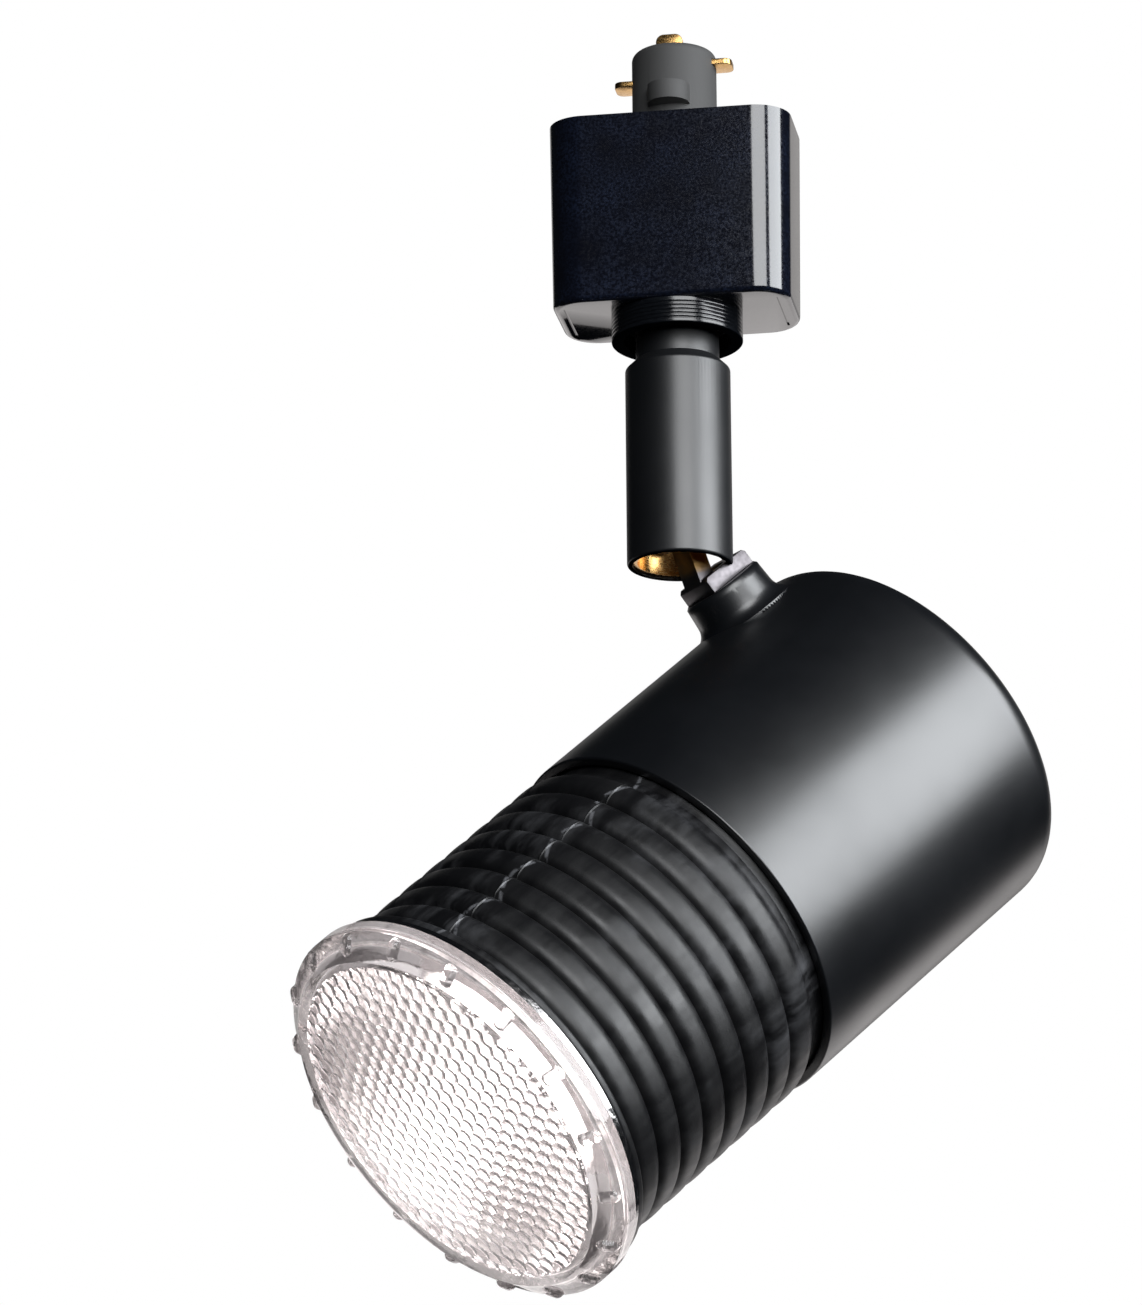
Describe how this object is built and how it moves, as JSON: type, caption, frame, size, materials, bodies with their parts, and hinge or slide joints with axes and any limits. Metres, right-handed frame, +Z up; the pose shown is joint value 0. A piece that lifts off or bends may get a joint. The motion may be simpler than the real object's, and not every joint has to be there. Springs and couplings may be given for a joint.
{
  "type": "track spotlight",
  "caption": "Track spotlight: twist-in track adapter, swivelling tubular stem, tilting can housing with a ribbed boot round a reflector lamp.",
  "frame": {"origin": "centre of the adapter's top face, on the axis of the track key, where the adapter seats against the track", "axes": "+Z up into the track, +X along the track, -Y towards the side that the lamp faces from; at rest the lamp looks towards -X, -Y and down"},
  "size_m": [0.1101, 0.1021, 0.1971],
  "materials": {
    "adapter_plastic": "gloss moulded, near black",
    "cover_plastic": "satin moulded black",
    "key_plastic": "glass-filled nylon, dark grey",
    "contact_brass": "bare brass strip",
    "zinc_steel": "zinc plated",
    "collar_black": "gloss black",
    "satin_black": "satin black enamel",
    "sleeve_brass": "drawn brass",
    "link_nickel": "nickel plated",
    "fibre": "vulcanised fibre",
    "bare_aluminium": "bare",
    "porcelain": "glazed porcelain",
    "boot_rubber": "semi-matt black",
    "lamp_glass": "pressed prismatic glass",
    "lamp_mirror": "glass, aluminised inside",
    "quartz": "clear quartz",
    "tungsten": "glowing tungsten coil",
    "cap_aluminium": "rolled thread",
    "black_glass": "vitrite",
    "solder": "tinned"
  },
  "bodies": {
    "adapter": {"adapter_cover": "cover_plastic", "adapter_housing": "adapter_plastic", "bearing_washer": "fibre", "cover_screws": "zinc_steel", "ground_contact": "contact_brass", "live_contact": "contact_brass", "neutral_contact": "contact_brass", "stem_collar": "collar_black", "track_key": "key_plastic"},
    "stem": {"lock_nut": "zinc_steel", "pivot_sleeve": "sleeve_brass", "stem_nipple": "zinc_steel", "stem_tube": "satin_black", "stop_washer": "zinc_steel", "tilt_pin": "zinc_steel", "tilt_spacers": "zinc_steel", "wave_washer": "zinc_steel"},
    "head": {"knuckle_link": "link_nickel", "lamp_housing": "satin_black", "lens_boot": "boot_rubber", "link_boss": "satin_black", "link_lock_washer": "zinc_steel", "link_nut": "zinc_steel", "link_saddle": "bare_aluminium", "socket_body": "porcelain", "socket_bracket": "zinc_steel", "socket_contact": "contact_brass", "socket_screws": "zinc_steel", "socket_shell": "cap_aluminium", "socket_terminals": "contact_brass"},
    "lamp": {"capsule_supports": "zinc_steel", "lamp_base_contact": "solder", "lamp_base_insulator": "black_glass", "lamp_base_shell": "cap_aluminium", "lamp_capsule": "quartz", "lamp_filament": "tungsten", "lamp_lens": "lamp_glass", "lamp_reflector": "lamp_mirror"}
  },
  "joints": [
    {"name": "pan", "type": "hinge", "parent": "adapter", "child": "stem", "pos_m": [0, 0, -0.0298], "axis": [0, 0, 1], "range_deg": [-203.6, 126.4]},
    {"name": "tilt", "type": "hinge", "parent": "stem", "child": "head", "pos_m": [0, 0, -0.0633], "axis": [0.6239, -0.7815, 0], "range_deg": [-41.3, 48.7]},
    {"name": "lamp_turn", "type": "hinge", "parent": "head", "child": "lamp", "pos_m": [0.02365, 0.01888, -0.09775], "axis": [-0.5871, -0.4687, -0.66], "range_deg": [0, 1620]}
  ]
}
